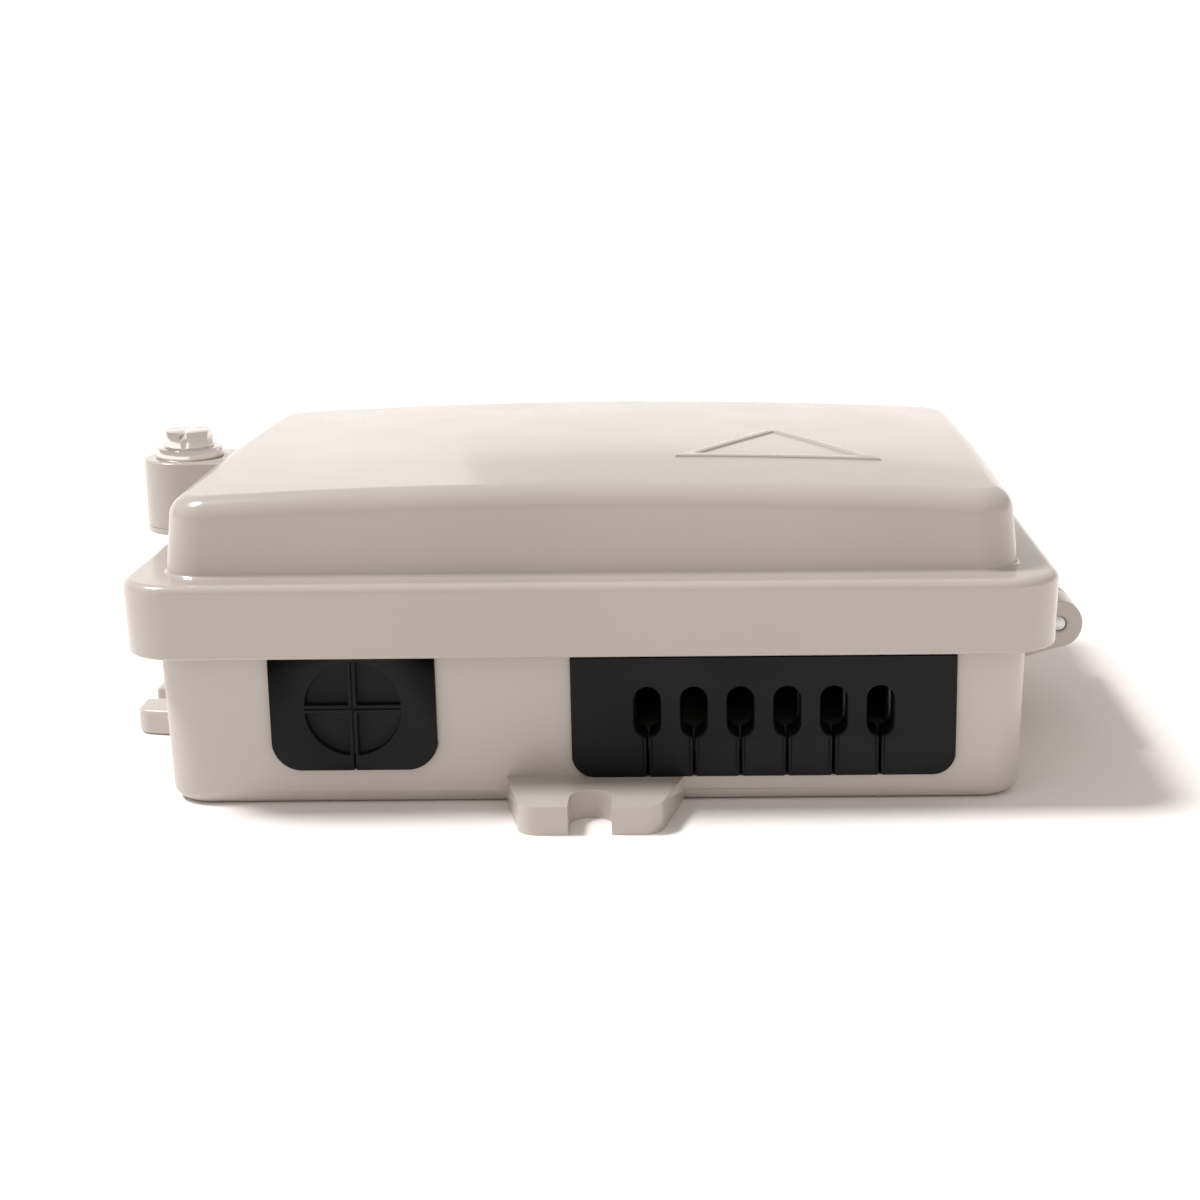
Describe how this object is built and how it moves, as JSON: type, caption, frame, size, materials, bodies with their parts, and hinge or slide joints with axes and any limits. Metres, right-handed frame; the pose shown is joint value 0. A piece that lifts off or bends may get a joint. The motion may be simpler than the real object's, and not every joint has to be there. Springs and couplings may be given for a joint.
{
  "type": "fiber termination box",
  "caption": "Wall-mounted fibre termination box with hinged lid, quarter-turn lock, rubber cable grommets, flip-up splice tray and a row of push-in adapters.",
  "frame": {"origin": "on the wall face, at the centre of the box's plan", "axes": "+Z away from the wall, -Y towards the cable entries, +X towards the lid's hinge"},
  "size_m": [0.2026, 0.1584, 0.0648],
  "materials": {
    "base_plastic": "satin warm light grey ABS",
    "lid_plastic": "glossy warm light grey ABS",
    "black_rubber": "matte black rubber",
    "steel": "zinc-plated",
    "plated_metal": "polished nickel plate",
    "dark_plastic": "matte dark grey",
    "brass": "satin",
    "white_plastic": "satin white",
    "clear_plastic": "clear polycarbonate",
    "panel_metal": "zinc-plated sheet",
    "green_plastic": "satin green",
    "ceramic": "polished ceramic",
    "cap_plastic": "soft translucent white"
  },
  "bodies": {
    "base": {"base_shell": "base_plastic", "lid_seal": "black_rubber", "feeder_grommet": "black_rubber", "drop_grommet": "black_rubber", "hinge_pin": "steel", "lock_keeper": "steel", "tray_bracket": "white_plastic", "tray_bracket_screws": "steel", "tray_hinge_pin": "steel", "adapter_panel": "panel_metal", "adapter_panel_screws": "steel", "drop_comb": "base_plastic", "drop_comb_screws": "steel", "feeder_cradle": "base_plastic", "feeder_clamp": "base_plastic", "feeder_clamp_screws": "steel", "strength_post": "brass", "strength_screw": "steel", "fibre_clip_1": "white_plastic", "fibre_clip_2": "white_plastic", "fibre_clip_3": "white_plastic", "sc_adapter_1": "green_plastic", "sc_adapter_2": "green_plastic", "sc_adapter_3": "green_plastic", "sc_adapter_4": "green_plastic", "sc_adapter_5": "green_plastic", "sc_adapter_6": "green_plastic", "sc_sleeve_1": "ceramic", "sc_sleeve_2": "ceramic", "sc_sleeve_3": "ceramic", "sc_sleeve_4": "ceramic", "sc_sleeve_5": "ceramic", "sc_sleeve_6": "ceramic"},
    "lid": {"lid_shell": "lid_plastic", "lock_collar": "plated_metal"},
    "lock": {"lock_knob": "plated_metal", "lock_cam": "brass", "lock_cam_screw": "steel"},
    "tray": {"splice_tray": "white_plastic", "tray_cover": "clear_plastic", "splice_holder_1": "dark_plastic", "splice_holder_2": "dark_plastic"},
    "cap_1": {"dust_cap_1": "cap_plastic"},
    "cap_2": {"dust_cap_2": "cap_plastic"},
    "cap_3": {"dust_cap_3": "cap_plastic"},
    "cap_4": {"dust_cap_4": "cap_plastic"},
    "cap_5": {"dust_cap_5": "cap_plastic"},
    "cap_6": {"dust_cap_6": "cap_plastic"}
  },
  "joints": [
    {"name": "lid_hinge", "type": "hinge", "parent": "base", "child": "lid", "pos_m": [0.0954, 0, 0.0268], "axis": [0, 1, 0], "range_deg": [0, 120]},
    {"name": "lock_turn", "type": "hinge", "parent": "lid", "child": "lock", "pos_m": [-0.09, 0, 0.059], "axis": [0, 0, 1], "range_deg": [0, 90]},
    {"name": "tray_tilt", "type": "hinge", "parent": "base", "child": "tray", "pos_m": [0.067, 0.034, 0.032], "axis": [0, 1, 0], "range_deg": [0, 60]},
    {"name": "cap_1_pull", "type": "slide", "parent": "base", "child": "cap_1", "axis": [0, -1, 0], "range_m": [0, 0.0095]},
    {"name": "cap_2_pull", "type": "slide", "parent": "base", "child": "cap_2", "axis": [0, -1, 0], "range_m": [0, 0.0095]},
    {"name": "cap_3_pull", "type": "slide", "parent": "base", "child": "cap_3", "axis": [0, -1, 0], "range_m": [0, 0.0095]},
    {"name": "cap_4_pull", "type": "slide", "parent": "base", "child": "cap_4", "axis": [0, -1, 0], "range_m": [0, 0.0095]},
    {"name": "cap_5_pull", "type": "slide", "parent": "base", "child": "cap_5", "axis": [0, -1, 0], "range_m": [0, 0.0095]},
    {"name": "cap_6_pull", "type": "slide", "parent": "base", "child": "cap_6", "axis": [0, -1, 0], "range_m": [0, 0.0095]}
  ],
  "couplings": [
    {"joint": "tray_tilt", "follows": "lid_hinge", "ratio": 0.5}
  ]
}
